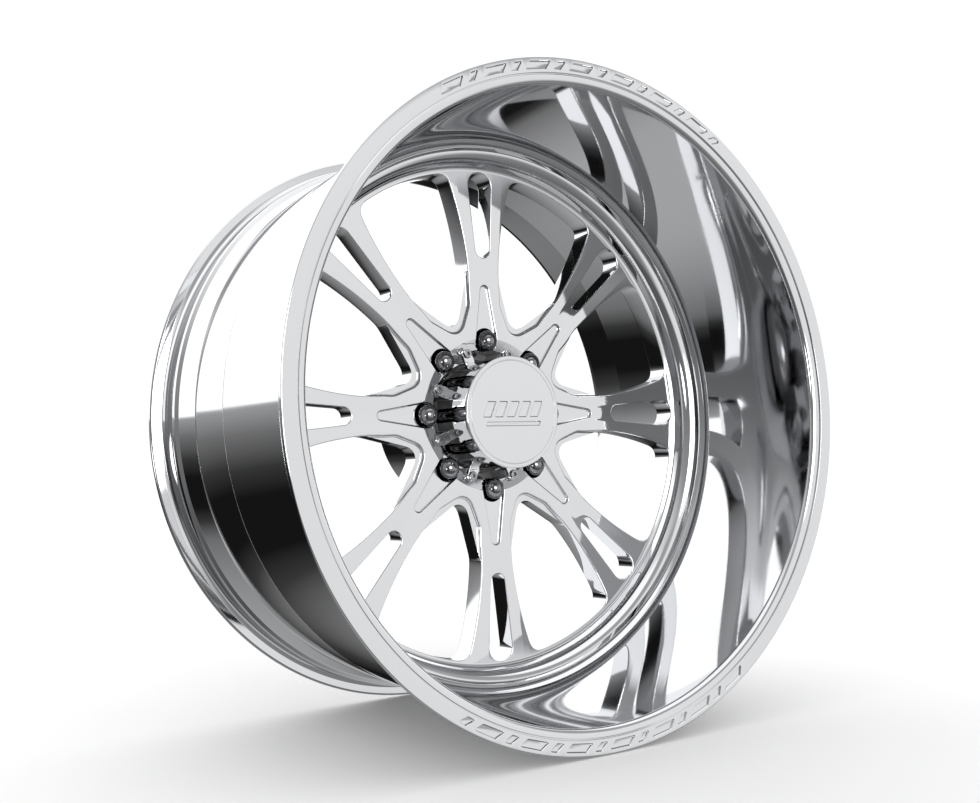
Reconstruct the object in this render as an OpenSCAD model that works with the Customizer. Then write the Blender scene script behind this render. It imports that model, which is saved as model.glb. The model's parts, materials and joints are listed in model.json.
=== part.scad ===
// Deep-dish forged light-truck wheel: a forged eight-spoke centre welded into a two-half rim,
// with a bolted centre cap, eight closed lug nuts and a clamp-in tyre valve.
// The wheel's axis is Y, the street side faces -Y and +Z is up. The origin is the centre of the
// hub mounting pad. Every piece is drawn from the front (x right, y up, z outboard from the pad)
// and wheel_frame() stands it up.

/* [Rim] */
// Outer radius of both rim flanges
flange_r = 347.7; // [345:0.1:350]
// Radius of both tyre bead seats
seat_r = 330.2; // [329.8:0.1:330.6]
// Width between the bead faces of the two flanges
rim_width = 355.6; // [350:0.1:360]
// Distance from the rim's centreline out to the mounting pad (negative is inboard)
wheel_offset = -76; // [-78:0.5:-74]
// Thickness of the street-side flange at its face
lip_t = 6.5; // [5:0.1:8]
// Radius of the drop well on the outer half
well_r = 322.4; // [321.8:0.1:323]
// Inside radius of the deep lip where it meets the centre
lip_foot_r = 312; // [311:0.1:314]
// Inside radius of the deep lip at its mouth
lip_mouth_r = 321.2; // [320:0.1:322]

/* [Centre] */
// Height of the spoke face above the mounting pad
face_z = 80; // [79:0.5:81]
// Thickness of the spokes
spoke_t = 26; // [22:0.5:30]
// Half width of a spoke at its waist
spoke_half = 20.5; // [19:0.5:22]
// Radius of the rim of the forged centre
centre_r = 303; // [302.6:0.1:303.1]
// Radius of the rounded hub boss behind the spokes
boss_r = 105; // [103:0.5:107]
// Inner radius of the sloping ledge round the centre cap
recess_r = 75.5; // [75:0.5:77]
// Radius of the hub bore
bore_r = 62.6; // [60:0.1:63]
// Depth of the ledge cut round the root of each window
ledge_depth = 4.5; // [3:0.5:6]

/* [Lugs] */
// Radius of the lug circle
lug_circle_r = 85; // [84:0.5:86]
// Radius of the stud holes
stud_hole_r = 7.5; // [7.2:0.1:7.8]
// Radius of the nut pockets
nut_pocket_r = 15; // [14.6:0.1:15.2]
// Height of the foot of the conical nut seats above the pad
nut_seat_z = 20; // [18:1:24]
// Radius of the lug nuts
nut_r = 12.2; // [11.8:0.1:12.6]

/* [Cap] */
// Outer radius of the cap's wall
cap_r = 62.4; // [61.8:0.1:62.6]
// Height of the cap's face above the mounting pad
cap_top_z = 123.5; // [118:0.5:126]
// Radius of the circle of the cap screws
screw_circle_r = 75.4; // [75:0.1:75.6]

/* [Valve] */
// Height of the valve above the mounting pad
valve_z = 34; // [32:1:36]

/* [Hidden] */
SPOKES = 8;
PITCH = 360 / SPOKES;
FIT_GAP = 0.1;
MOVE_GAP = 0.3;
VALVE_SHIFT = 1;
$fn = 96;

centreline_z = -wheel_offset;
front_bead_z = centreline_z + rim_width / 2;
rear_bead_z = centreline_z - rim_width / 2;
lip_z = front_bead_z + lip_t;
joint_z = 61.6;
spoke_back_z = face_z - spoke_t;
rim_back_z = spoke_back_z - 3;
foot_z = 106;
weld_prep_r = 306.8;
weld_prep_z = 94;
recess_z = face_z - 4.4;
land_z = face_z - 4.7;
trench_z = 46;
cap_foot_r = bore_r + 4.4;
tab_z = land_z + 1;
tab_t = 4;
window_half_angle = PITCH / 2;
side_start = 140;
side_curve = 750;
ledge_end = 165;
side_end = 266.5;
window_corner_r = 13;
valve_angle = 90;

// Points on an arc about c, from angle a to angle b
function arc(c, r, a, b, n) = [for (i = [0 : n])
    c + r * [cos(a + (b - a) * i / n), sin(a + (b - a) * i / n)]];
// Closes a half outline with its mirror image across the Y axis
function closed(p) = concat(
    p,
    [for (i = [len(p) - 1 : -1 : 0]) if (p[i][0] > 0.001) [-p[i][0], p[i][1]]]
);
// Outline of two circles on the Y axis joined by their tangents, y1 < y2
function tapered_slot(y1, r1, y2, r2, n = 10) =
    let (lean = asin((r1 - r2) / (y2 - y1)))
    concat(arc([0, y1], r1, -180 - lean + 360, 360 + lean, n), arc([0, y2], r2, lean, 180 - lean, n));
// From a place beside a spoke (a along it, l across it) to the frame of the window next to it
function beside_spoke(a, l) = let (s = sin(window_half_angle), c = cos(window_half_angle))
    [a * s - l * c, a * c + l * s];
// Half width of a spoke at a distance a from the wheel's centre
function spoke_side(a) = spoke_half + pow(max(0, a - side_start), 2) / side_curve;
// Inside radius of the deep lip at height z
function lip_wall_r(z) = lip_foot_r
    + (lip_mouth_r - lip_foot_r) * (z - foot_z) / (lip_z - 7.5 - foot_z);

// Turns the front-view drawing frame into the wheel's frame
module wheel_frame() {
    rotate([90, 0, 0]) children();
}

// Repeats a shape at every spoke, starting at 12 o'clock, turned by a share of the pitch
module each_spoke(share = 0) {
    for (i = [0 : SPOKES - 1]) rotate([0, 0, -PITCH * (i + share)]) children();
}

// A ring turned from its half section
module ring(section) {
    rotate_extrude($fn = 180) polygon(section);
}

// A plain hexagonal prism of the given width across its flats
module hexagon(flats, h) {
    cylinder(r = flats / sqrt(3), h = h, $fn = 6);
}

// Rounded root of a window: the arc at the hub end, then the point where its side line ends
function root_outline(tip_r, r, lean, end) = concat(
    arc([0, tip_r + r], r, -90, -(window_half_angle + lean), 7),
    end
);

window_side = [for (i = [0 : 8]) let (a = ledge_end + (side_end - ledge_end) * i / 8)
    beside_spoke(a, spoke_side(a))];
side_slope = atan(2 * (side_end - side_start) / side_curve);
corner_turn = window_half_angle - side_slope;
corner_c = beside_spoke(side_end, spoke_side(side_end))
    + window_corner_r * [-cos(corner_turn), sin(corner_turn)];
corner_a = atan2(corner_c[1], corner_c[0]);
window_outer_r = norm(corner_c) + window_corner_r;
window_half = concat(
    root_outline(110, 13, 13.5, []),
    window_side,
    arc(corner_c, window_corner_r, -corner_turn + 8, corner_a, 6),
    [for (i = [1 : 4]) window_outer_r * [cos(corner_a + (90 - corner_a) * i / 5),
                                        sin(corner_a + (90 - corner_a) * i / 5)]]
);
window_outline = closed(window_half);
ledge_half = root_outline(100.7, 15.5, 20, [
    beside_spoke(127, spoke_half + 0.3),
    beside_spoke(ledge_end, spoke_side(ledge_end))
]);
ledge_outline = closed(ledge_half);

// Street-side half of the rim, with the deep lip
outer_barrel_section = concat(
    [[303.3, joint_z + FIT_GAP], [303.3, weld_prep_z], [weld_prep_r, weld_prep_z]],
    [[weld_prep_r, weld_prep_z + 7], [weld_prep_r + 0.8, weld_prep_z + 8.4]],
    [[lip_foot_r - 2, foot_z - 1.4], [lip_wall_r(foot_z), foot_z]],
    [for (i = [0 : 5]) [330.6 - (330.6 - lip_mouth_r) * cos(17 * i), lip_z - 7.5 + 6.3 * sin(17 * i)]],
    [[330.6, lip_z - 1.6], [331.2, lip_z - 1.6], [331.4, lip_z]],
    arc([flange_r - 1.3, lip_z - 1.3], 1.3, 90, 0, 3),
    [[flange_r, front_bead_z + 2], [flange_r - 1.5, front_bead_z + 0.5]],
    [[337, front_bead_z], [333, front_bead_z - 1.3], [330.8, front_bead_z - 4.3]],
    [[seat_r, front_bead_z - 8], [seat_r, front_bead_z - 26]],
    [[331, front_bead_z - 29], [331.4, front_bead_z - 32], [330.6, front_bead_z - 36]],
    [[well_r, front_bead_z - 48], [well_r, joint_z + 2]],
    [[319.5, joint_z + FIT_GAP]]
);

// Brake-side half of the rim
inner_barrel_section = concat(
    [[303.3, joint_z - FIT_GAP], [319.5, joint_z - FIT_GAP], [well_r - 0.8, joint_z - 2]],
    [[well_r - 1.4, -24], [318, -30.4], [325.8, -59.8], [326.4, -62]],
    [[330.6, rear_bead_z + 36], [331.4, rear_bead_z + 32], [331, rear_bead_z + 29]],
    [[seat_r, rear_bead_z + 26], [seat_r, rear_bead_z + 8]],
    [[330.8, rear_bead_z + 4.3], [333, rear_bead_z + 1.3], [337, rear_bead_z]],
    [[345, rear_bead_z - 0.4], [347, rear_bead_z - 1.5], [flange_r, rear_bead_z - 3.4]],
    [[flange_r - 0.6, rear_bead_z - 5.2], [345.4, rear_bead_z - 6]],
    [[336, rear_bead_z - 5.6], [326, rear_bead_z - 3], [320, rear_bead_z + 1]],
    [[318.5, rear_bead_z + 8], [313.6, -40], [310, -38]],
    [[310, rim_back_z - 6], [303.3, rim_back_z - 1.5]]
);

// Forged centre before its windows are cut
centre_section = concat(
    [[bore_r + 1, 0], [boss_r - 2, 0], [boss_r, 2], [boss_r, spoke_back_z - 3], [boss_r + 3, spoke_back_z]],
    [[284, spoke_back_z], [287, rim_back_z], [centre_r, rim_back_z]],
    [[centre_r, face_z + 24.5], [centre_r - 0.6, face_z + 26.9], [centre_r - 1.4, face_z + 26.9]],
    arc([centre_r + 2.4, face_z + 3.8], 18.6, 107, 163, 6),
    [[286.2, face_z + 3], [283, face_z], [88.3, face_z], [recess_r, recess_z]],
    [[recess_r, trench_z], [bore_r, trench_z], [bore_r, 1]]
);

module outer_barrel() {
    color("silver") wheel_frame() ring(outer_barrel_section);
}

module inner_barrel() {
    color("silver") wheel_frame() difference() {
        ring(inner_barrel_section);
        valve_place() {
            translate([0, 0, -330]) cylinder(r = 5.75, h = 30);
            translate([0, 0, -330]) cylinder(r = 12, h = 9);
            translate([0, 0, -315]) cylinder(r = 9.5, h = 15);
        }
    }
}

// Weld that joins the two rim halves, ground flush with the drop well
module girth_weld() {
    color("gainsboro") wheel_frame() ring([
        [319.7, joint_z],
        [well_r - 0.9, joint_z - 1.8],
        [well_r - 0.1, joint_z + 1.8]
    ]);
}

module centre_disc() {
    color("silver") wheel_frame() difference() {
        union() {
            ring(centre_section);
            each_spoke(0.5) screw_land();
        }
        each_spoke(0.5) window_cut();
        each_spoke() slot_cut();
        each_spoke() lug_cut();
        each_spoke(0.5) screw_cut();
        each_spoke(0.5) tab_relief();
        each_spoke(0.5) translate([0, 84, -1]) cylinder(r = 9.5, h = 31);
    }
}

// One window through the centre, with the ledge round its root
module window_cut() {
    translate([0, 0, spoke_back_z - 5]) linear_extrude(spoke_t + 10) polygon(window_outline);
    translate([0, 0, face_z - ledge_depth]) linear_extrude(ledge_depth + 5) polygon(ledge_outline);
}

// The slot that splits the outer end of a spoke
module slot_cut() {
    translate([0, 0, spoke_back_z - 5]) linear_extrude(spoke_t + 10)
        polygon(tapered_slot(191.8, 9.8, 266, 16));
}

// Stud hole, conical seat, nut pocket and the pointed recess that runs out along the spoke
module lug_cut() {
    cone_h = (12 - stud_hole_r) / tan(30);
    translate([0, lug_circle_r, -1]) cylinder(r = stud_hole_r, h = nut_seat_z + 2);
    translate([0, lug_circle_r, nut_seat_z]) cylinder(r1 = stud_hole_r, r2 = 12, h = cone_h);
    translate([0, lug_circle_r, nut_seat_z + cone_h]) cylinder(r = nut_pocket_r, h = face_z);
    translate([0, 0, face_z - 3.2]) linear_extrude(8)
        polygon(tapered_slot(lug_circle_r, nut_pocket_r - 0.2, 144.3, 5.7));
}

// Land that stands in the trench round the cap and carries a cap screw
module screw_land() {
    inner_r = cap_foot_r + 0.4;
    translate([-6.5, inner_r, trench_z - 6]) cube([13, 78.5 - inner_r, land_z - trench_z + 6]);
}

// Hole for a cap screw
module screw_cut() {
    translate([0, screw_circle_r, land_z - 16]) cylinder(r = 3 + MOVE_GAP, h = 20);
}

// Clearance milled into the sloping ledge round the end of a cap tab
module tab_relief() {
    translate([0, 0, tab_z - 0.5]) linear_extrude(12) polygon(tapered_slot(66, 7.2, 74.4, 6.8));
}

// Weld bead in the groove between the centre's rim and the lip
module front_weld() {
    color("gainsboro") wheel_frame() ring(concat(
        [[303.1, weld_prep_z + FIT_GAP], [weld_prep_r - FIT_GAP, weld_prep_z + FIT_GAP]],
        arc([304.9, weld_prep_z + 9.6], 3.6, -60, -120, 5)
    ));
}

// Weld bead between the back of the centre's rim and the brake-side half
module rear_weld() {
    color("gainsboro") wheel_frame() ring([
        [297.5, rim_back_z - FIT_GAP], [302.9, rim_back_z - FIT_GAP], [303.2, rim_back_z - 1.7],
        [308, rim_back_z - 4.9], [306, rim_back_z - 6.6], [300, rim_back_z - 4.4]
    ]);
}

// Cap body: a tall tube on a foot flange, with eight screw tabs
module cap_shell() {
    foot_z = trench_z + 1.05;
    color("silver") wheel_frame() difference() {
        union() {
            ring([
                [cap_r - 3, foot_z], [cap_foot_r, foot_z], [cap_foot_r, foot_z + 3],
                [cap_r, foot_z + 3.4], [cap_r, cap_top_z - 3.1], [cap_r - 3, cap_top_z - 3.1]
            ]);
            translate([0, 0, tab_z]) linear_extrude(tab_t) cap_tabs();
        }
        each_spoke(0.5) translate([0, screw_circle_r, tab_z + 2.6]) cylinder(r = 5.3, h = 10);
    }
}

// Outlines of the cap's round-ended tabs
module cap_tabs() {
    difference() {
        each_spoke(0.5) polygon(tapered_slot(66, 6.7, 74.4, 6.3));
        circle(r = cap_r - 1.5);
        each_spoke(0.5) translate([0, screw_circle_r]) circle(r = 3.2);
    }
}

// Polished face of the cap, with a fine groove inside its rim and a spigot into the tube
module cap_face() {
    color("white") wheel_frame() ring([
        [0, cap_top_z - 8], [cap_r - 6, cap_top_z - 8], [cap_r - 6, cap_top_z - 3],
        [cap_r + 0.1, cap_top_z - 3], [cap_r + 0.7, cap_top_z - 2.4], [cap_r + 0.7, cap_top_z - 0.8],
        [cap_r - 0.1, cap_top_z], [58.4, cap_top_z], [58.2, cap_top_z - 0.6],
        [57.6, cap_top_z - 0.6], [57.4, cap_top_z], [0, cap_top_z]
    ]);
}

module cap_gasket() {
    color("black") wheel_frame() ring([
        [bore_r + 0.8, trench_z + 0.05], [cap_foot_r - 0.4, trench_z + 0.05],
        [cap_foot_r - 0.4, trench_z + 1], [bore_r + 0.8, trench_z + 1]
    ]);
}

// Socket-head screw of the cap
module cap_screw(i) {
    head_z = tab_z + 2.7;
    color("dimgray") wheel_frame() rotate([0, 0, -PITCH * (i - 0.5)]) translate([0, screw_circle_r, 0])
        difference() {
            union() {
                translate([0, 0, head_z - 15]) cylinder(r = 2.9, h = 15.1);
                translate([0, 0, head_z]) cylinder(r = 4.9, h = 4.2);
            }
            translate([0, 0, head_z + 1.8]) hexagon(4, 5);
        }
}

// Closed bullet-shaped nut with a conical seat and a blind thread bore
module lug_nut(i) {
    seat = nut_seat_z + 0.6;
    cone_r = nut_r - 0.9;
    cone_h = (cone_r - stud_hole_r) / tan(30);
    top = face_z - 0.5;
    dome_h = 11.5;
    color("darkslategray") wheel_frame() rotate([0, 0, -PITCH * (i - 1)]) translate([0, lug_circle_r, 0])
        ring_small(concat(
            [[6.4, seat], [stud_hole_r, seat], [cone_r, seat + cone_h], [nut_r, seat + cone_h + 1.6]],
            [[nut_r, top]],
            [for (k = [1 : 8]) [nut_r * cos(90 * k / 8), top + dome_h * sin(90 * k / 8)]],
            [[0, top - 12], [5, top - 12], [6.4, top - 14]]
        ));
}

// A small turned piece
module ring_small(section) {
    rotate_extrude($fn = 48) polygon(section);
}

// Puts a piece drawn along +Z on the valve's axis, with +Z pointing to the wheel's centre
module valve_place() {
    rotate([0, 0, valve_angle]) translate([-VALVE_SHIFT, 0, valve_z]) rotate([0, -90, 0]) children();
}

// A turned valve piece: half section in radius and distance from the wheel's axis (negative)
module valve_piece(section) {
    wheel_frame() valve_place() ring_small(section);
}

module valve_stem() {
    color("silver") valve_piece([
        [2.7, -325.6], [9, -325.6], [9.6, -325], [9.6, -323.4], [9, -323], [4, -323],
        [4, -275.5], [3.6, -275], [2.7, -275]
    ]);
}

module valve_grommet() {
    color("black") valve_piece([
        [4.1, -322.9], [9, -322.9], [9, -321.1], [5.6, -321.1], [5.6, -315.2], [4.1, -315.2]
    ]);
}

module valve_washer() {
    color("silver") valve_piece([[4.1, -314.9], [8.5, -314.9], [8.5, -313.5], [4.1, -313.5]]);
}

module valve_nut() {
    color("silver") wheel_frame() valve_place() difference() {
        translate([0, 0, -313.4]) hexagon(12, 5.4);
        translate([0, 0, -314]) cylinder(r = 4.1, h = 8);
    }
}

// Core: the threaded plug with its seal, a tube round the pin
module valve_core() {
    color("goldenrod") valve_piece([
        [1.1, -297], [2.3, -297], [2.3, -284], [2.6, -283.6], [2.6, -276.5], [1.1, -276.5]
    ]);
}

// Spring-loaded pin of the core, with the sealing disc at its inner end
module valve_pin() {
    color("goldenrod") valve_piece([
        [0, -300.4], [2.2, -300.4], [2.2, -298.4], [0.8, -298.2], [0.8, -274.6], [0, -274.4]
    ]);
}

// Dust cap: closed at the wheel-centre end
module valve_cap() {
    color("dimgray") valve_piece([
        [4.1, -285.5], [5.3, -285.5], [5.5, -285], [5.5, -272.6], [4.6, -270.6], [0, -270.2],
        [0, -272.6], [4.1, -272.6]
    ]);
}

module valve_cap_seal() {
    color("black") valve_piece([[2.2, -274.9], [3.9, -274.9], [3.9, -272.7], [2.2, -272.7]]);
}

outer_barrel();
inner_barrel();
girth_weld();
centre_disc();
front_weld();
rear_weld();
cap_shell();
cap_face();
cap_gasket();
for (i = [1 : SPOKES]) cap_screw(i);
for (i = [1 : SPOKES]) lug_nut(i);
valve_stem();
valve_grommet();
valve_washer();
valve_nut();
valve_core();
valve_pin();
valve_cap();
valve_cap_seal();
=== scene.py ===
import json
import math

import bmesh
import bpy
import numpy as np
from mathutils import Matrix, Vector


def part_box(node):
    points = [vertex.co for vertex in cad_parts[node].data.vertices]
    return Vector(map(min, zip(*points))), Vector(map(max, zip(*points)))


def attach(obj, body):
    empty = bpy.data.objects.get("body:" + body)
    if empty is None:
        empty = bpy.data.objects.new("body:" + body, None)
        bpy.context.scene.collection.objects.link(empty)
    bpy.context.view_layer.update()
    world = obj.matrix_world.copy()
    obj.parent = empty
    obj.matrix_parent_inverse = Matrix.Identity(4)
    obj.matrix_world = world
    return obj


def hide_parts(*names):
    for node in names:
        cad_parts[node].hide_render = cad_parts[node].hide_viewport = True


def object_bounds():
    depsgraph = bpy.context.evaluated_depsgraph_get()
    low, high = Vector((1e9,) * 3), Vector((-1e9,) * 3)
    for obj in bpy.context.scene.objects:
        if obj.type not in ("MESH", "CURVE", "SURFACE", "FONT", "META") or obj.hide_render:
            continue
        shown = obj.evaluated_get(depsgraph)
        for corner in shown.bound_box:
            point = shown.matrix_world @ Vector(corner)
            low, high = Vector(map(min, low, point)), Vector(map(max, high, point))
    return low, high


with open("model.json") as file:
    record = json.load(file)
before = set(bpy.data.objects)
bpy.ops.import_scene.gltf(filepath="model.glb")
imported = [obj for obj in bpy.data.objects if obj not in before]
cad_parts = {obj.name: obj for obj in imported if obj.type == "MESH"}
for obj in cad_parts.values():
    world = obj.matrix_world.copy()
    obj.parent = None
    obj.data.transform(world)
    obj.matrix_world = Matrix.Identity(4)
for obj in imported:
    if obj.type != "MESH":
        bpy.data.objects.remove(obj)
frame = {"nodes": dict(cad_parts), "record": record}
lo_start, hi_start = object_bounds()
scene = bpy.context.scene
record = frame["record"]

# ------------------------------------------------------------------ sizes read from the frame
# Everything below is drawn in millimetres in a front view: x right, y up, z out from the pad.


def node_z(node):
    """Lowest and highest z of a CAD node, in mm."""
    lo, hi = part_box(node)
    return -hi.y * 1000, -lo.y * 1000


def node_r(node):
    """Outer radius of a round CAD node, in mm."""
    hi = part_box(node)[1]
    return hi.z * 1000


FLANGE_R = node_r("outer_barrel")
LIP_Z = node_z("outer_barrel")[1]
BACK_Z = node_z("inner_barrel")[0]
CENTRE_R = node_r("centre_disc")
RING_Z = node_z("centre_disc")[1]
RING_RISE = 26.9  # the ring's top above the spokes' face
SPOKE_THICK = 26
FACE_Z = RING_Z - RING_RISE
BACK_FACE_Z = FACE_Z - SPOKE_THICK
CAP_Z = node_z("cap_face")[1]
CAP_R = node_r("cap_face")
FOOT = node_z("cap_shell")[0]
GASKET = 1.05
TRENCH_Z = FOOT - GASKET
LAND_DROP = 4.7  # the screw lands below the spokes' face
LAND_Z = FACE_Z - LAND_DROP
TAB_Z = LAND_Z + 1
LUG_R = 85.0
LUG_TOP = node_z("lug_nut_1")[1]
SCREW_R = 75.4
SPOKES = 8
PITCH = 360 / SPOKES

# Detailed faces lie this far inside the CAD's own faces, so the pieces stay in its box.
SKIN = 0.03
DEEP_SKIN = 0.05
FACE_TOP = FACE_Z - SKIN
TRENCH_TOP = TRENCH_Z - SKIN
LAND_TOP = LAND_Z - DEEP_SKIN
BACK_SIDE = BACK_FACE_Z + DEEP_SKIN
OVER_FACE = FACE_Z + 2  # where the cutters end, above the face

# ------------------------------------------------------------------ small geometry tools


def arc(cx, cy, r, a, b, n):
    """Points on an arc from angle a to b, in degrees."""
    t = np.radians(np.linspace(a, b, n + 1))
    return [(cx + r * math.cos(v), cy + r * math.sin(v)) for v in t]


def rounded(points, steps=6):
    """A closed outline from (x, y, fillet radius) corners."""
    out = []
    count = len(points)
    for i, p in enumerate(points):
        r = p[2] if len(p) > 2 else 0
        here = Vector(p[:2])
        before = Vector(points[i - 1][:2]) - here
        after = Vector(points[(i + 1) % count][:2]) - here
        if r <= 0 or before.length < 1e-6 or after.length < 1e-6:
            out.append(tuple(here))
            continue
        a, b = before.normalized(), after.normalized()
        half = a.angle(b) / 2
        if half > math.radians(89.5):
            out.append(tuple(here))
            continue
        reach = min(r / math.tan(half), before.length * 0.49, after.length * 0.49)
        r = reach * math.tan(half)
        mid = (a + b).normalized()
        centre = here + mid * (r / math.sin(half))
        start, end = here + a * reach, here + b * reach
        v0, v1 = start - centre, end - centre
        turn = v0.angle_signed(v1)
        n = max(2, min(steps, int(abs(math.degrees(turn)) / 6) + 2))
        for k in range(n + 1):
            q = v0.copy()
            q.rotate(Matrix.Rotation(-turn * k / n, 2))
            out.append(tuple(centre + q))
    return out


def area(pts):
    """Signed area of a closed outline: positive if it runs counter-clockwise."""
    p = np.array(pts)
    q = np.roll(p, -1, 0)
    return (p[:, 0] * q[:, 1] - q[:, 0] * p[:, 1]).sum() / 2


def ccw(pts):
    return list(pts) if area(pts) > 0 else list(pts)[::-1]


def thinned(pts, gap=0.02):
    """A closed outline without points that nearly coincide."""
    out = []
    for p in pts:
        if not out or math.dist(p, out[-1]) > gap:
            out.append(tuple(p))
    while len(out) > 1 and math.dist(out[0], out[-1]) <= gap:
        out.pop()
    return out


def resample(pts, step):
    """A closed outline at an even spacing."""
    p = np.array(pts + [pts[0]])
    d = np.r_[0, np.cumsum(np.hypot(*np.diff(p, axis=0).T))]
    n = max(8, int(round(d[-1] / step)))
    t = np.linspace(0, d[-1], n, endpoint=False)
    return list(zip(np.interp(t, d, p[:, 0]), np.interp(t, d, p[:, 1])))


def smoothed(pts, times):
    """A closed outline with its corners eased."""
    p = np.array(pts)
    for _ in range(times):
        p = (np.roll(p, 1, 0) + 2 * p + np.roll(p, -1, 0)) / 4
    return [tuple(v) for v in p]


def offset(pts, by):
    """A counter-clockwise outline moved outwards."""
    p = np.array(pts)
    a = p - np.roll(p, 1, 0)
    b = np.roll(p, -1, 0) - p
    na = np.c_[a[:, 1], -a[:, 0]] / np.linalg.norm(a, axis=1)[:, None]
    nb = np.c_[b[:, 1], -b[:, 0]] / np.linalg.norm(b, axis=1)[:, None]
    n = na + nb
    n /= np.linalg.norm(n, axis=1)[:, None]
    n /= np.maximum((n * na).sum(1), 0.5)[:, None]
    return p + n * by


def turned(pts, degrees):
    """An outline turned clockwise about the wheel's axis."""
    c, s = math.cos(math.radians(degrees)), math.sin(math.radians(degrees))
    return [(c * x + s * y, -s * x + c * y) for x, y in pts]


def to_row(v):
    """Drawing millimetres to the row frame's metres."""
    v = np.asarray(v, float)
    return np.c_[v[:, 0], -v[:, 2], v[:, 1]] / 1000


def build(name, verts, faces):
    """A mesh object from drawing points, with its doubles merged."""
    mesh = bpy.data.meshes.new(name)
    mesh.from_pydata([tuple(v) for v in to_row(verts)], [], faces)
    mesh.validate()
    obj = bpy.data.objects.new(name, mesh)
    scene.collection.objects.link(obj)
    bm = bmesh.new()
    bm.from_mesh(mesh)
    bmesh.ops.remove_doubles(bm, verts=bm.verts, dist=2e-7)
    bmesh.ops.recalc_face_normals(bm, faces=bm.faces)
    bm.to_mesh(mesh)
    bm.free()
    return obj


def revolve(name, section, segments=360, centre=(0, 0)):
    """A closed half section (radius, z) turned round an axis parallel to the wheel's."""
    s = thinned(section)
    m = len(s)
    verts, faces = [], []
    for i in range(segments):
        a = 2 * math.pi * i / segments
        c, d = math.cos(a), math.sin(a)
        verts += [(centre[0] + r * c, centre[1] + r * d, z) for r, z in s]
    for i in range(segments):
        j = (i + 1) % segments
        for k in range(m):
            n = (k + 1) % m
            if s[k][0] < 1e-6 and s[n][0] < 1e-6:
                continue
            faces.append((i * m + k, j * m + k, j * m + n, i * m + n))
    return build(name, verts, faces)


def prisms(name, outlines, profile):
    """Closed prisms: each outline is grown by the offset at every z of the profile, bottom first."""
    verts, faces = [], []
    for outline in outlines:
        pts = ccw(outline)
        n = len(pts)
        base = len(verts)
        for grow, z in profile:
            verts += [(x, y, z) for x, y in offset(pts, grow)]
        for k in range(len(profile) - 1):
            for i in range(n):
                j = (i + 1) % n
                a, b = base + k * n, base + (k + 1) * n
                faces.append((a + i, a + j, b + j, b + i))
        faces.append(tuple(base + i for i in range(n))[::-1])
        faces.append(tuple(base + (len(profile) - 1) * n + i for i in range(n)))
    return build(name, verts, faces)


def round_edge(wall, z, r, steps=5, up=True):
    """Profile points where a hole's wall (offset 0) rolls over into a face at height z."""
    pts = []
    for k in range(steps + 1):
        a = math.radians(90 * k / steps)
        pts.append((wall + r * (1 - math.cos(a)), z - r + r * math.sin(a)))
    return pts if up else [(g, 2 * z - h) for g, h in pts][::-1]


def cove(wall, z, r, steps=6):
    """Profile points where a recess's floor at height z curves up into its wall."""
    pts = []
    for k in range(steps + 1):
        a = math.radians(90 * k / steps)
        pts.append((wall - r + r * math.sin(a), z + r - r * math.cos(a)))
    return pts


def combine(obj, tool, operation):
    """Applies one boolean and removes the tool."""
    mod = obj.modifiers.new("boolean", "BOOLEAN")
    mod.operation = operation
    mod.solver = "MANIFOLD"
    mod.object = tool
    dg = bpy.context.evaluated_depsgraph_get()
    mesh = bpy.data.meshes.new_from_object(obj.evaluated_get(dg))
    obj.modifiers.remove(mod)
    obj.data = mesh
    bpy.data.objects.remove(tool)


def cut(obj, *tools):
    for tool in tools:
        combine(obj, tool, "DIFFERENCE")


def join(obj, *tools):
    for tool in tools:
        combine(obj, tool, "UNION")


def finish_mesh(obj, flat_z=(), angle=32):
    """Smooth shading, with sharp edges by angle; level faces at the given heights stay flat."""
    mesh = obj.data
    mesh.shade_smooth()
    if flat_z:
        n = len(mesh.polygons)
        centre, normal = np.zeros(n * 3), np.zeros(n * 3)
        mesh.polygons.foreach_get("center", centre)
        mesh.polygons.foreach_get("normal", normal)
        y = centre.reshape(-1, 3)[:, 1] * -1000
        level = np.abs(normal.reshape(-1, 3)[:, 1]) > 0.9995
        near = np.min([np.abs(y - z) for z in flat_z], axis=0) < 0.02
        smooth = ~(level & near)
        mesh.polygons.foreach_set("use_smooth", smooth)
    mesh.set_sharp_from_angle(angle=math.radians(angle))
    return obj


# ------------------------------------------------------------------ materials


def metal(name, colour, rough, scratch=0.02, blotch=0.012, scale=60.0, spread=0.04):
    """Polished metal with uneven polish and very fine scratches."""
    mat = bpy.data.materials.new(name)
    mat.use_nodes = True
    nt = mat.node_tree
    n, link = nt.nodes, nt.links.new
    bsdf = n["Principled BSDF"]
    bsdf.inputs["Metallic"].default_value = 1.0
    bsdf.inputs["Base Color"].default_value = (*colour, 1)
    coord = n.new("ShaderNodeTexCoord")
    haze = n.new("ShaderNodeTexNoise")
    haze.inputs["Scale"].default_value = scale * 0.25
    haze.inputs["Detail"].default_value = 4
    link(coord.outputs["Object"], haze.inputs["Vector"])
    fine = n.new("ShaderNodeTexNoise")
    fine.inputs["Scale"].default_value = scale * 12
    fine.inputs["Detail"].default_value = 3
    link(coord.outputs["Object"], fine.inputs["Vector"])
    ramp = n.new("ShaderNodeMapRange")
    ramp.inputs["From Min"].default_value = 0.3
    ramp.inputs["From Max"].default_value = 0.75
    ramp.inputs["To Min"].default_value = rough
    ramp.inputs["To Max"].default_value = rough + spread
    link(haze.outputs["Fac"], ramp.inputs["Value"])
    link(ramp.outputs["Result"], bsdf.inputs["Roughness"])
    bump = n.new("ShaderNodeBump")
    bump.inputs["Strength"].default_value = scratch
    bump.inputs["Distance"].default_value = 0.0002
    link(fine.outputs["Fac"], bump.inputs["Height"])
    link(bump.outputs["Normal"], bsdf.inputs["Normal"])
    return mat


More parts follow.
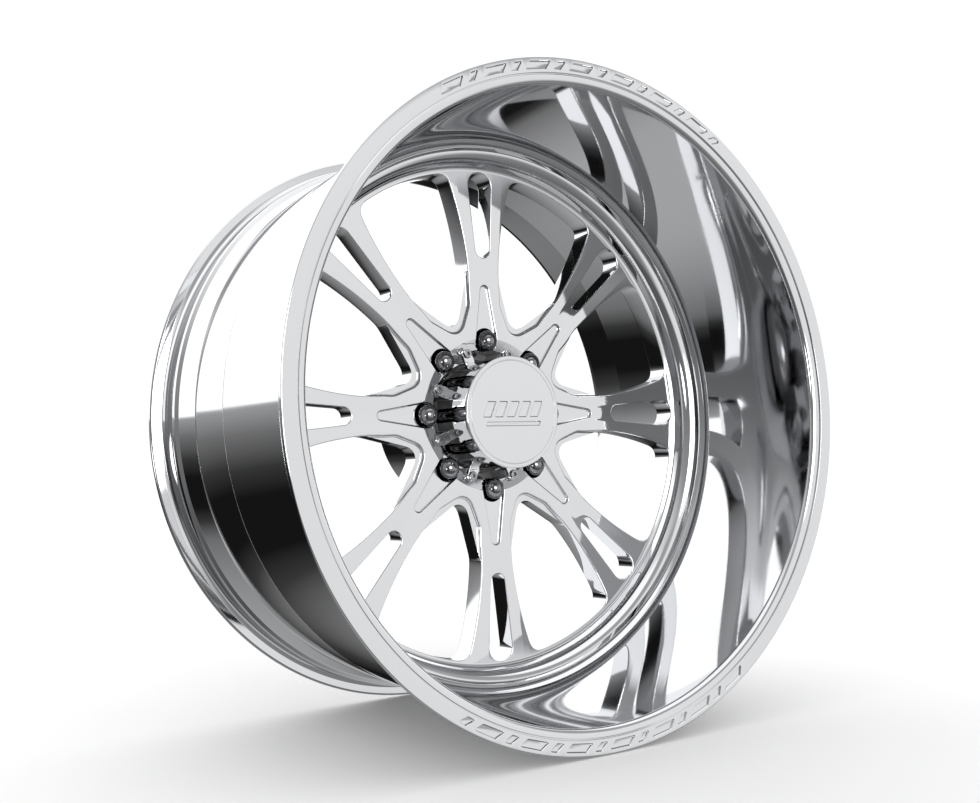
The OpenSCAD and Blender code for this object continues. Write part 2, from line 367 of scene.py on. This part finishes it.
def soft(name, colour, rough, bump_strength=0.2, scale=900.0):
    """Rubber or plastic with a fine grain."""
    mat = bpy.data.materials.new(name)
    mat.use_nodes = True
    nt = mat.node_tree
    n, link = nt.nodes, nt.links.new
    bsdf = n["Principled BSDF"]
    bsdf.inputs["Base Color"].default_value = (*colour, 1)
    coord = n.new("ShaderNodeTexCoord")
    grain = n.new("ShaderNodeTexNoise")
    grain.inputs["Scale"].default_value = scale
    grain.inputs["Detail"].default_value = 4
    link(coord.outputs["Object"], grain.inputs["Vector"])
    ramp = n.new("ShaderNodeMapRange")
    ramp.inputs["To Min"].default_value = rough - 0.08
    ramp.inputs["To Max"].default_value = rough + 0.08
    link(grain.outputs["Fac"], ramp.inputs["Value"])
    link(ramp.outputs["Result"], bsdf.inputs["Roughness"])
    bump = n.new("ShaderNodeBump")
    bump.inputs["Strength"].default_value = bump_strength
    bump.inputs["Distance"].default_value = 0.0003
    link(grain.outputs["Fac"], bump.inputs["Height"])
    link(bump.outputs["Normal"], bsdf.inputs["Normal"])
    return mat


def painted_recess_shade(mat, radius, height, grey):
    """Paints shade into the hub's recess: the metal turns dull, matt and mid-grey inside a radius and below
    a height of the face, both in m, but not on the mounting pad."""
    pad_skin = 0.001
    share = 0.7  # how much of the metal's mirror finish is lost
    nt = mat.node_tree
    n, link = nt.nodes, nt.links.new
    bsdf = n["Principled BSDF"]
    coord = n.new("ShaderNodeTexCoord")
    split = n.new("ShaderNodeSeparateXYZ")
    link(coord.outputs["Object"], split.inputs[0])

    def calc(op, a, b):
        m = n.new("ShaderNodeMath")
        m.operation = op
        for socket, v in zip(m.inputs, (a, b)):
            if isinstance(v, float):
                socket.default_value = v
            else:
                link(v, socket)
        return m.outputs[0]

    x2 = calc("MULTIPLY", split.outputs[0], split.outputs[0])
    z2 = calc("MULTIPLY", split.outputs[2], split.outputs[2])
    inside = calc("LESS_THAN", calc("ADD", x2, z2), radius * radius)
    low = calc("GREATER_THAN", split.outputs[1], -height)
    above_pad = calc("LESS_THAN", split.outputs[1], -pad_skin)
    mask = calc("MULTIPLY", calc("MULTIPLY", inside, low), above_pad)
    link(calc("SUBTRACT", 1.0, calc("MULTIPLY", mask, share)), bsdf.inputs["Metallic"])
    mix = n.new("ShaderNodeMix")
    mix.data_type = "RGBA"
    link(mask, mix.inputs["Factor"])
    mix.inputs[6].default_value = tuple(bsdf.inputs["Base Color"].default_value)
    mix.inputs[7].default_value = (grey, grey, grey, 1)
    link(mix.outputs[2], bsdf.inputs["Base Color"])


MAT = {
    "polished_rim": metal("polished_rim", (0.738, 0.746, 0.762), 0.02),
    "polished_centre": metal("polished_centre", (0.738, 0.746, 0.762), 0.03),
    "weld": metal("weld", (0.45, 0.455, 0.46), 0.30, scratch=0.5, scale=140, spread=0.15),
    "polished_cap": metal("polished_cap", (0.748, 0.756, 0.772), 0.03),
    "gasket": soft("gasket", (0.02, 0.02, 0.02), 0.6),
    "screw_steel": metal("screw_steel", (0.42, 0.42, 0.43), 0.22, scratch=0.2, scale=200),
    "black_chrome": metal("black_chrome", (0.26, 0.26, 0.27), 0.04),
    "valve_metal": metal("valve_metal", (0.62, 0.62, 0.63), 0.10),
    "valve_rubber": soft("valve_rubber", (0.02, 0.02, 0.02), 0.65),
    "valve_brass": metal("valve_brass", (0.55, 0.40, 0.17), 0.22),
    "valve_plastic": soft("valve_plastic", (0.03, 0.03, 0.03), 0.45, scale=1500),
}
TRENCH_R = 76.4
# Painted shade: the recess round the hub is turned dull mid-grey so that it reads as shaded.
painted_recess_shade(MAT["polished_centre"], TRENCH_R / 1000, (LAND_Z - 0.6) / 1000, 0.5)
NODE_SLOT = {p["node"]: p["material_slot"] for p in record["subparts"]}


def dress(obj, body, nodes, slot):
    """Gives a detailed piece its finish and puts it in place of CAD nodes."""
    obj.data.materials.clear()
    obj.data.materials.append(MAT[slot])
    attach(obj, body)
    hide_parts(*nodes)
    return obj


# ------------------------------------------------------------------ street-side half of the rim
JOINT_Z = 61.6  # where the halves are welded
GAP = 0.15  # half the weld's gap
FOOT_Z, FOOT_R = 106.0, 312.0  # the lip wall's inner end
MOUTH_Z, MOUTH_R = LIP_Z - 7.5, 321.2  # its outer end
ROLL_R, ROLL_RISE = 330.6, 6.3  # the elliptical roll from the wall into the lip's face
SEAT_R, HUMP_R, FLANK_R = 330.1, 331.3, 330.8  # bead seat, safety hump, foot of the flange
WELL_R = 322.35
FRONT_BEAD = LIP_Z - 6.5

lip_foot = [(306.8, 101), (307.6, 102.5, 1), (310.2, 104.7, 2), (FOOT_R, FOOT_Z, 1), (MOUTH_R, MOUTH_Z)]
lip_roll = [
    (
        ROLL_R - (ROLL_R - MOUTH_R) * math.cos(math.radians(a)),
        MOUTH_Z + ROLL_RISE * math.sin(math.radians(a)),
    )
    for a in range(5, 86, 5)
]
outer_tread = [
    (FLANGE_R - 1.5, FRONT_BEAD + 0.6, 0.5),
    (337, FRONT_BEAD + 0.05, 2),
    (333, FRONT_BEAD - 1.25, 2),
    (FLANK_R, FRONT_BEAD - 4.25, 2),
    (SEAT_R, FRONT_BEAD - 8, 1),
    (SEAT_R, FRONT_BEAD - 26, 1),
    (331, FRONT_BEAD - 29, 1.5),
    (HUMP_R, FRONT_BEAD - 32, 1.5),
    (330.5, FRONT_BEAD - 36, 2),
    (WELL_R, FRONT_BEAD - 48, 6),
    (WELL_R, JOINT_Z + 2.05, 0.4),
    (319.6, JOINT_Z + GAP),
    (310, JOINT_Z + GAP),
]
outer_section = (
    [(303.35, JOINT_Z + GAP), (303.35, 94.05), (306.8, 94.05), (306.8, 101)]
    + rounded(lip_foot, 6)[1:]
    + lip_roll
    + [(ROLL_R, LIP_Z - 1.6), (331.2, LIP_Z - 1.6)]
    + arc(332.1, LIP_Z - 0.75, 0.7, 180, 90, 4)
    + arc(FLANGE_R - 1.4, LIP_Z - 1.35, 1.3, 90, 0, 6)
    + [(FLANGE_R - 0.1, FRONT_BEAD + 2)]
    + rounded(outer_tread, 8)[1:]
)
outer = revolve("rim_outer", outer_section, 480)


def ccw_points(pts):
    """Corners with fillet radii, in counter-clockwise order."""
    return pts if area([p[:2] for p in pts]) > 0 else pts[::-1]


def lip_mark(middle, reach, inner, height, lean):
    """A plain row of slanted bars round the lip's face: long and short in turn. Angles are in degrees."""
    long_bar, short_bar, space, corner_r = 4.6, 1.7, 1.5, 1.2
    out = []
    a = middle - reach
    while a < middle + reach - 1:
        wide = short_bar if len(out) % 2 else long_bar
        pts = []
        for r, end in ((inner, 0), (inner, wide), (inner + height, wide), (inner + height, 0)):
            t = math.radians(a + end + (lean if r > inner else -lean))
            pts.append((r * math.sin(t), r * math.cos(t), corner_r))
        out.append(resample(thinned(rounded(ccw_points(pts), 4)), 0.9))
        a += wide + space
    return out


MARK_R, MARK_HEIGHT, MARK_LEAN, MARK_REACH = 334.4, 9.0, 0.7, 32
MARK_FLOOR = LIP_Z - 2.0
mark_profile = [(-1.1, MARK_FLOOR), (-0.9, MARK_FLOOR + 0.06), (0.0, LIP_Z - 0.1), (0.3, LIP_Z + 0.2)]
marks = []
for middle in (2, 180):
    marks += lip_mark(middle, MARK_REACH, MARK_R, MARK_HEIGHT, MARK_LEAN)
cut(outer, prisms("lip_marks", marks, mark_profile))
finish_mesh(outer, (LIP_Z, MARK_FLOOR), 24)
dress(outer, "wheel", ["outer_barrel"], "polished_rim")

# ------------------------------------------------------------------ brake-side half of the rim
REAR_BEAD = BACK_Z + 6
inner_section = rounded(
    [
        (303.4, JOINT_Z - GAP),
        (319.4, JOINT_Z - GAP),
        (321.5, JOINT_Z - 2.05, 0.5),
        (320.95, -24, 2),
        (318.05, -30.4, 3),
        (325.75, -59.8, 1),
        (326.35, -62, 1),
        (330.55, REAR_BEAD + 36, 2),
        (HUMP_R, REAR_BEAD + 32, 1.5),
        (331, REAR_BEAD + 29, 1.5),
        (SEAT_R, REAR_BEAD + 26, 1),
        (SEAT_R, REAR_BEAD + 8, 1),
        (FLANK_R, REAR_BEAD + 4.35, 2),
        (333, REAR_BEAD + 1.35, 2),
        (337, REAR_BEAD + 0.05, 2),
        (345, REAR_BEAD - 0.35, 1),
        (347, REAR_BEAD - 1.5, 1),
        (347.6, REAR_BEAD - 3.4, 1),
        (347, REAR_BEAD - 5.2, 1),
        (345.4, REAR_BEAD - 5.95, 1),
        (336, REAR_BEAD - 5.55, 5),
        (326, REAR_BEAD - 2.95, 4),
        (320, REAR_BEAD + 1.05, 3),
        (318.5, REAR_BEAD + 8, 3),
        (313.65, -40, 0.5),
        (310.05, -38, 0.5),
        (310.05, 45.0, 1),
        (303.4, 49.45),
    ],
    8,
)
inner = finish_mesh(revolve("rim_inner", inner_section, 480), (), 30)
dress(inner, "wheel", ["inner_barrel"], "polished_rim")

# ------------------------------------------------------------------ forged centre
# A spoke's side runs straight to SIDE_START from the axis, then flares outwards as a parabola.
SPOKE_HALF, SIDE_START, SIDE_CURVE = 20.5, 140.0, 750.0
WINDOW_START, WINDOW_END = 165.0, 266.5  # the window's sides follow the spoke between these
SIN_H, COS_H = math.sin(math.radians(PITCH / 2)), math.cos(math.radians(PITCH / 2))


def beside(a, l):
    """From a place beside a spoke to the frame of the window next to it."""
    return (a * SIN_H - l * COS_H, a * COS_H + l * SIN_H)


def side(a):
    """Half the spoke's width at a distance from the axis."""
    return SPOKE_HALF + max(0.0, a - SIDE_START) ** 2 / SIDE_CURVE


def closed(half):
    """A half outline and its mirror image."""
    return half + [(-x, y) for x, y in half[::-1] if x > 1e-3]


CORNER_R = 13.0
slope = math.degrees(math.atan(2 * (WINDOW_END - SIDE_START) / SIDE_CURVE))
corner_turn = PITCH / 2 - slope
corner = beside(WINDOW_END, side(WINDOW_END))
corner_c = (
    abs(corner[0]) - CORNER_R * math.cos(math.radians(corner_turn)),
    corner[1] + CORNER_R * math.sin(math.radians(corner_turn)),
)
corner_a = math.degrees(math.atan2(corner_c[1], corner_c[0]))
WINDOW_R = math.hypot(*corner_c) + CORNER_R
window_half = (
    arc(0, 123, 13, -90, -36, 10)
    + [beside(a, side(a)) for a in np.linspace(WINDOW_START, WINDOW_END, 25)]
    + arc(*corner_c, CORNER_R, -corner_turn + 4, corner_a, 14)
    + arc(0, 0, WINDOW_R, corner_a, 90, 16)[1:]
)
window = smoothed(resample(ccw(closed(window_half)), 1.6), 14)
ledge_half = arc(0, 116.2, 15.5, -90, -42.5, 10) + [
    beside(127, SPOKE_HALF + 0.3),
    beside(140, SPOKE_HALF + 0.9),
    beside(168, side(168) - 0.6),
]
ledge = smoothed(resample(ccw(closed(ledge_half)), 1.2), 10)
LEDGE_Z = FACE_Z - 4.5
POCKET_Z = FACE_Z - 3.2


def tapered(y1, r1, y2, r2, n=16):
    """Two round ends on the y axis and the lines that touch both."""
    lean = math.degrees(math.asin((r1 - r2) / (y2 - y1)))
    return arc(0, y1, r1, 180 - lean, 360 + lean, n * 2) + arc(0, y2, r2, lean, 180 - lean, n)


slot_line = resample(ccw(tapered(191.8, 9.8, 266, 16)), 1.6)
pocket_line = resample(ccw(tapered(LUG_R, 14.8, 144.3, 5.7)), 1.0)


def around(outline, share=0.0):
    """The outline at each spoke, or at a share of the pitch beyond it."""
    return [turned(outline, PITCH * (i + share)) for i in range(SPOKES)]


def circle(cx, cy, r, n=64):
    return arc(cx, cy, r, 0, 360, n)[:-1]


BORE_R = 62.65
centre_section = rounded(
    [
        (63.65, 0.05),
        (102.9, 0.05, 1),
        (104.95, 2, 1),
        (104.95, BACK_FACE_Z - 0.5, 5),
        (284, BACK_SIDE, 3),
        (287, BACK_FACE_Z - 2.95, 2),
        (302.95, BACK_FACE_Z - 2.95),
        (302.95, FACE_Z + 24.5),
        (302.4, FACE_Z + 26.85, 0.4),
        (301.65, FACE_Z + 26.85, 0.4),
        (300.1, FACE_Z + 21.55, 1),
    ],
    8,
)
centre_section += arc(CENTRE_R + 2.3, FACE_Z + 3.8, 18.6, 108, 160, 20)
centre_section += rounded(
    [
        (287.2, FACE_Z + 7.5),
        (286.3, FACE_Z + 1.5, 2),
        (283, FACE_TOP, 3),
        (88.3, FACE_TOP, 1.0),
        (75.55, FACE_Z - 4.43, 0.8),
        (75.55, TRENCH_TOP, 1.5),
        (BORE_R, TRENCH_TOP),
        (BORE_R, 1.05),
    ],
    6,
)
disc = revolve("wheel_centre", centre_section, 480)
LAND_HALF, LAND_IN, LAND_OUT = 6.45, 67.45, 78.2
land = rounded(
    [(-LAND_HALF, LAND_IN, 1.5), (LAND_HALF, LAND_IN, 1.5), (LAND_HALF, LAND_OUT), (-LAND_HALF, LAND_OUT)], 6
)
land_profile = [(0, TRENCH_Z - 5), (0, LAND_Z - 0.75), (-0.1, LAND_Z - 0.4), (-0.35, LAND_Z - 0.15)]
land_profile += [(-0.7, LAND_TOP)]
join(disc, prisms("lands", around(land, 0.5), land_profile))

BOTTOM = BACK_FACE_Z - 6
from_behind = [(2.2, BOTTOM)] + round_edge(0, BACK_SIDE, 1.6, 5, up=False)
window_profile = from_behind + round_edge(0, FACE_TOP, 1.3, 6) + [(1.35, OVER_FACE)]
ledge_profile = cove(-0.2, LEDGE_Z, 3.0, 7) + round_edge(-0.2, FACE_TOP, 1.1, 6) + [(1.0, OVER_FACE)]
slot_profile = from_behind + round_edge(0, FACE_TOP, 1.1, 6) + [(1.15, OVER_FACE)]
pocket_profile = cove(0, POCKET_Z, 2.2, 6) + round_edge(0, FACE_TOP, 0.9, 5) + [(0.95, OVER_FACE)]
# A lug hole is drawn at its counterbore's radius, and every other radius is an offset from that.
COUNTERBORE_R, HOLE_R, CONE_R, SEAT_Z = 15.0, 7.5, 12, 20
cone_h = (CONE_R - HOLE_R) / math.tan(math.radians(30))
lug_profile = [
    (HOLE_R - COUNTERBORE_R, -1),
    (HOLE_R - COUNTERBORE_R, SEAT_Z),
    (CONE_R - COUNTERBORE_R, SEAT_Z + cone_h),
    (0, SEAT_Z + DEEP_SKIN + cone_h),
]
lug_profile += round_edge(0, POCKET_Z, 0.8, 4) + [(0.9, POCKET_Z + 0.9)]
relief_profile = [(0.8, -0.5), (0, 0.5), (0, 27), (-2, 29.5), (-4, 30)]
cut(
    disc,
    prisms("cut_window", around(window, 0.5), window_profile),
    prisms("cut_ledge", around(ledge, 0.5), ledge_profile),
    prisms("cut_slot", around(slot_line), slot_profile),
    prisms("cut_pocket", around(pocket_line), pocket_profile),
    prisms("cut_lug", around(circle(0, LUG_R, COUNTERBORE_R)), lug_profile),
    prisms("cut_screw", around(circle(0, SCREW_R, 3.3, 32), 0.5), [(0, LAND_Z - 16), (0, LAND_Z + 2)]),
    prisms(
        "cut_tab",
        around(resample(ccw(tapered(66, 7.15, 74.4, 6.75)), 0.8), 0.5),
        [(0, TAB_Z - 0.45), (0, OVER_FACE)],
    ),
    prisms("cut_relief", around(circle(0, 84, 9.5), 0.5), relief_profile),
)
finish_mesh(disc, (FACE_TOP, LEDGE_Z, POCKET_Z, LAND_TOP, TRENCH_TOP, BACK_SIDE), 34)
dress(disc, "wheel", ["centre_disc"], "polished_centre")

# ------------------------------------------------------------------ centre cap
TUBE_R = CAP_R - 0.7
WALL = 3
FOOT_FLANGE_R = 66.95
shell_section = rounded(
    [
        (TUBE_R - WALL, FOOT + SKIN),
        (FOOT_FLANGE_R, FOOT + SKIN, 0.3),
        (FOOT_FLANGE_R, FOOT + 2.95, 0.6),
        (TUBE_R - DEEP_SKIN, FOOT + 3.35, 1.5),
        (TUBE_R - DEEP_SKIN, CAP_Z - 3.15),
        (TUBE_R - WALL, CAP_Z - 3.15),
    ],
    6,
)
shell = revolve("cap_body", shell_section, 240)
tab = resample(ccw(tapered(66, 6.65, 74.4, 6.25)), 0.8)
tab_profile = [(0, TAB_Z + DEEP_SKIN)] + arc(-0.8, TAB_Z + 3.15, 0.8, 0, 90, 6)
for i in range(SPOKES):
    join(shell, prisms("tab", [turned(tab, PITCH * (i + 0.5))], tab_profile))
TAB_TOP, HEAD_FLOOR = TAB_Z + 3.95, TAB_Z + 2.6
head_profile = [(0, HEAD_FLOOR), (0, TAB_Z + 3.5), (0.1, TAB_Z + 3.7), (0.35, TAB_TOP), (0.8, TAB_Z + 4.4)]
cut(
    shell,
    prisms("cut_hole", around(circle(0, SCREW_R, 3.2, 32), 0.5), [(0, TAB_Z - 2), (0, TAB_Z + 6)]),
    prisms("cut_head", around(circle(0, SCREW_R, 5.3, 48), 0.5), head_profile),
)
finish_mesh(shell, (TAB_TOP, HEAD_FLOOR), 32)
dress(shell, "centre_cap", ["cap_shell"], "polished_cap")
CAP_TOP, GROOVE_Z, CAP_MARK_Z = CAP_Z - SKIN, CAP_Z - 0.6, CAP_Z - 1.3
face_section = rounded(
    [
        (0, CAP_Z - 7.95),
        (CAP_R - 6.75, CAP_Z - 7.95, 0.5),
        (CAP_R - 6.75, CAP_Z - 3.02),
        (CAP_R - 0.6, CAP_Z - 3.02, 0.3),
        (CAP_R - SKIN, CAP_Z - 2.4, 0.5),
        (CAP_R - SKIN, CAP_Z - 0.85, 0.7),
        (CAP_R - 0.85, CAP_TOP, 0.8),
        (58.45, CAP_TOP, 0.15),
        (58.2, GROOVE_Z, 0.1),
        (57.6, GROOVE_Z, 0.1),
        (57.35, CAP_TOP, 0.15),
        (0, CAP_TOP),
    ],
    6,
)
face = revolve("cap_disc", face_section, 240)
bars = []
for x in range(-32, 33, 16):
    bars.append([(x - 10, -6, 1.2), (x + 2, -6, 1.2), (x + 10, 12, 1.2), (x - 2, 12, 1.2)])
bars.append([(-38, -16, 1.0), (36, -16, 1.0), (38, -10.5, 1.0), (-36, -10.5, 1.0)])
bars = [resample(thinned(rounded(b, 5)), 0.7) for b in bars]
cap_mark_profile = [(-1.15, CAP_MARK_Z), (-0.95, CAP_Z - 1.24), (0.0, CAP_Z - 0.1), (0.3, CAP_Z + 0.2)]
cut(face, prisms("cap_mark", bars, cap_mark_profile))
finish_mesh(face, (CAP_TOP, GROOVE_Z, CAP_MARK_Z), 24)
dress(face, "centre_cap", ["cap_face"], "polished_cap")

# ------------------------------------------------------------------ cap screws
HEAD_Z = TAB_Z + 2.7
HEAD_TOP, SOCKET_FLOOR = HEAD_Z + 4.17, HEAD_Z + 1.8
SHANK_R, HEAD_R, SOCKET_R = 2.85, 4.85, 2.31
screw_section = rounded(
    [
        (0, HEAD_Z - 14.95),
        (2.3, HEAD_Z - 14.95),
        (SHANK_R, HEAD_Z - 14.3),
        (SHANK_R, HEAD_Z + 0.02),
        (HEAD_R, HEAD_Z + 0.02, 0.2),
        (HEAD_R, HEAD_TOP, 0.6),
        (0, HEAD_TOP),
    ],
    5,
)


def on_circle(radius, degrees):
    """A place on a circle round the wheel's axis, clockwise from the top."""
    t = math.radians(degrees)
    return radius * math.sin(t), radius * math.cos(t)


def make_screw(i):
    """One socket-head screw of the cap."""
    cx, cy = on_circle(SCREW_R, PITCH * (i - 0.5))
    screw = revolve(f"cap_screw_{i}_head", screw_section, 48, (cx, cy))
    hexagon = circle(cx, cy, SOCKET_R, 6)
    cut(screw, prisms("hex", [hexagon], [(0, SOCKET_FLOOR), (0, HEAD_Z + 3.8), (0.5, HEAD_Z + 4.4)]))
    finish_mesh(screw, (HEAD_TOP, SOCKET_FLOOR), 32)
    dress(screw, "centre_cap", [f"cap_screw_{i}"], "screw_steel")


# ------------------------------------------------------------------ lug nuts
NUT_R, NUT_BORE_R = 12.15, 6.45
NUT_SEAT, NOSE_RISE = 20.6, 11.45
NOSE_Z = LUG_TOP - 11.5
seat_rise = (11.3 - 7.5) / math.tan(math.radians(30))
nose = [
    (NUT_R * math.cos(math.radians(v)) ** 1.1, NOSE_Z + NOSE_RISE * math.sin(math.radians(v)) ** 0.97)
    for v in range(5, 90, 5)
]
nut_section = thinned(
    [
        (NUT_BORE_R, NUT_SEAT + SKIN),
        (7.5, NUT_SEAT + SKIN),
        (11.25, NUT_SEAT + seat_rise),
        (NUT_R, NUT_SEAT + seat_rise + 1.6),
        (NUT_R, NOSE_Z),
    ]
    + nose
    + [(0, NOSE_Z + NOSE_RISE), (0, NOSE_Z - 11.95), (5, NOSE_Z - 11.95), (NUT_BORE_R, NOSE_Z - 13.95)]
)


def make_nut(i):
    """One closed bullet nut."""
    nut = revolve(f"lug_nut_{i}_body", nut_section, 72, on_circle(LUG_R, PITCH * (i - 1)))
    finish_mesh(nut, (), 30)
    dress(nut, f"nut_{i}", [f"lug_nut_{i}"], "black_chrome")


for i in range(1, SPOKES + 1):
    make_screw(i)
    make_nut(i)

# ------------------------------------------------------------------ finish of the plain CAD nodes
for name, node in frame["nodes"].items():
    if node.hide_render:
        continue
    node.data.materials.clear()
    node.data.materials.append(MAT[NODE_SLOT[name]])

# ------------------------------------------------------------------ floor and studio light
FLOOR_GAP = 0.0005
floor_z = lo_start.z - FLOOR_GAP
bpy.ops.mesh.primitive_plane_add(size=30, location=(0, 0, floor_z))
floor = bpy.context.object
floor.name = "studio_floor"
pale = bpy.data.materials.new("pale_floor")
pale.use_nodes = True
nt = pale.node_tree
bsdf = nt.nodes["Principled BSDF"]
bsdf.inputs["Base Color"].default_value = (0.97, 0.97, 0.97, 1)
bsdf.inputs["Roughness"].default_value = 0.9
bsdf.inputs["Specular IOR Level"].default_value = 0.0
floor.data.materials.append(pale)
floor.visible_glossy = False

world = bpy.data.worlds.new("studio")
scene.world = world
world.use_nodes = True
nt = world.node_tree
nt.nodes.clear()
N, L = nt.nodes.new, nt.links.new


def math_node(op, a, b):
    n = N("ShaderNodeMath")
    n.operation = op
    for k, v in enumerate((a, b)):
        if isinstance(v, (int, float)):
            n.inputs[k].default_value = v
        else:
            L(v, n.inputs[k])
    return n.outputs[0]


def step_node(v, low, high):
    """A soft step from 0 at low to 1 at high."""
    n = N("ShaderNodeMapRange")
    n.interpolation_type = "SMOOTHSTEP"
    n.inputs["From Min"].default_value = low
    n.inputs["From Max"].default_value = high
    L(v, n.inputs["Value"])
    return n.outputs["Result"]


# dx, dy and dz are the direction that a ray leaves in.
coord = N("ShaderNodeTexCoord")
split = N("ShaderNodeSeparateXYZ")
L(coord.outputs["Generated"], split.inputs[0])
dx, dy, dz = split.outputs


def sky(stops, name):
    """A grey ramp over the height of the light's direction: -1 straight down, 1 straight up."""
    ramp_node = N("ShaderNodeValToRGB")
    ramp_node.name = name
    ramp_node.color_ramp.interpolation = "LINEAR"
    items = ramp_node.color_ramp.elements
    while len(items) > 1:
        items.remove(items[0])
    items[0].position, items[0].color = 1.0, (stops[-1][1],) * 3 + (1,)
    for height, value in stops[:-1]:
        e = items.new((height + 1) / 2)
        e.color = (value, value, value, 1)
    L(math_node("MULTIPLY", math_node("ADD", dz, 1.0), 0.5), ramp_node.inputs["Fac"])
    return ramp_node.outputs["Color"]


def blend(fac, a, b):
    """From a, where fac is 0, to b, where it is 1."""
    m = N("ShaderNodeMix")
    m.data_type = "RGBA"
    L(fac, m.inputs["Factor"])
    for socket, v in ((m.inputs[6], a), (m.inputs[7], b)):
        if isinstance(v, float):
            socket.default_value = (v, v, v, 1)
        else:
            L(v, socket)
    return m.outputs[2]


# The studio behind the wheel: a white wall above a black band, which fades to grey below.
behind_stops = [(-1, 0.36), (-0.75, 0.30), (-0.46, 0.13), (-0.39, 0.03), (-0.33, 0.006), (-0.19, 0.006)]
behind_stops += [(-0.11, 0.03), (0.0, 0.13), (0.085, 0.27), (0.095, 0.95), (0.6, 1.0), (1.0, 0.80)]
# In front of it: a light grey wall, with a darker band between it and the ceiling.
before_stops = [(-1, 0.10), (-0.5, 0.20), (-0.3, 0.62), (0.36, 0.66)]
before_stops += [(0.46, 0.3), (0.63, 0.28), (0.72, 0.9), (1, 0.8)]
left_front_stops = [(-1, 0.06), (-0.4, 0.09), (0.0, 0.15), (0.4, 0.24), (1.0, 0.80)]
behind = sky(behind_stops, "behind")
before = sky(before_stops, "before")
left_front = sky(left_front_stops, "left_front")
front_side = step_node(math_node("MULTIPLY", dy, -1.0), -0.10, 0.25)
right_side = step_node(dx, -0.44, -0.22)
front = blend(right_side, left_front, before)


def softbox(x, y, z, spread, base, value):
    """A round light in the given direction."""
    aim = Vector((x, y, z)).normalized()
    dot = math_node("ADD", math_node("MULTIPLY", dx, aim.x), math_node("MULTIPLY", dy, aim.y))
    dot = math_node("ADD", dot, math_node("MULTIPLY", dz, aim.z))
    edge = math.cos(math.radians(spread))
    softness = 0.004
    return blend(step_node(dot, edge - softness, edge + softness), base, value)


front = softbox(-0.16, -0.97, 0.12, 13, front, 4.0)
front = softbox(-0.76, -0.64, -0.10, 6, front, 4.0)
studio = blend(front_side, behind, front)

# Rays that have bounced three times or more see an even grey, so reflections within reflections are calm.
DEEP_BOUNCE = 3.5
path = N("ShaderNodeLightPath")
deep = sky([(-1, 0.20), (-0.2, 0.22), (0.1, 0.26), (0.6, 0.36), (1.0, 0.40)], "deep")
studio = blend(math_node("GREATER_THAN", path.outputs["Ray Depth"], DEEP_BOUNCE), studio, deep)

# The camera and the floor see a plain white studio.
STRENGTH, WHITE = 1.5, 1.05
plain = math_node("MAXIMUM", path.outputs["Is Camera Ray"], path.outputs["Is Diffuse Ray"])
show = N("ShaderNodeMix")
show.data_type = "RGBA"
L(plain, show.inputs["Factor"])
L(studio, show.inputs[6])
show.inputs[7].default_value = (WHITE / STRENGTH,) * 3 + (1,)
bg = N("ShaderNodeBackground")
L(show.outputs[2], bg.inputs["Color"])
bg.inputs["Strength"].default_value = STRENGTH
out = N("ShaderNodeOutputWorld")
L(bg.outputs[0], out.inputs["Surface"])
scene.view_settings.view_transform = "Standard"

# ------------------------------------------------------------------ camera, at the photograph's angle
LENS_MM = 38.65
SHIFT_X, SHIFT_Y = 0.159, 0.0297
CAMERA_AT = Vector((-0.7203, -1.0681, -0.0633))
cam_data = bpy.data.cameras.new("camera")
cam = bpy.data.objects.new("camera", cam_data)
scene.collection.objects.link(cam)
scene.camera = cam
cam_data.sensor_width = 36
cam_data.lens = LENS_MM
cam_data.shift_x = SHIFT_X
cam_data.shift_y = SHIFT_Y
cam_data.clip_start, cam_data.clip_end = 0.05, 60
look = Vector((0.4630, 0.8853, 0.0430)).normalized()
up = Vector((0.0162, -0.0570, 0.9982))
right = look.cross(up).normalized()
up = right.cross(look).normalized()
cam.matrix_world = Matrix.Translation(CAMERA_AT) @ Matrix((right, up, -look)).transposed().to_4x4()
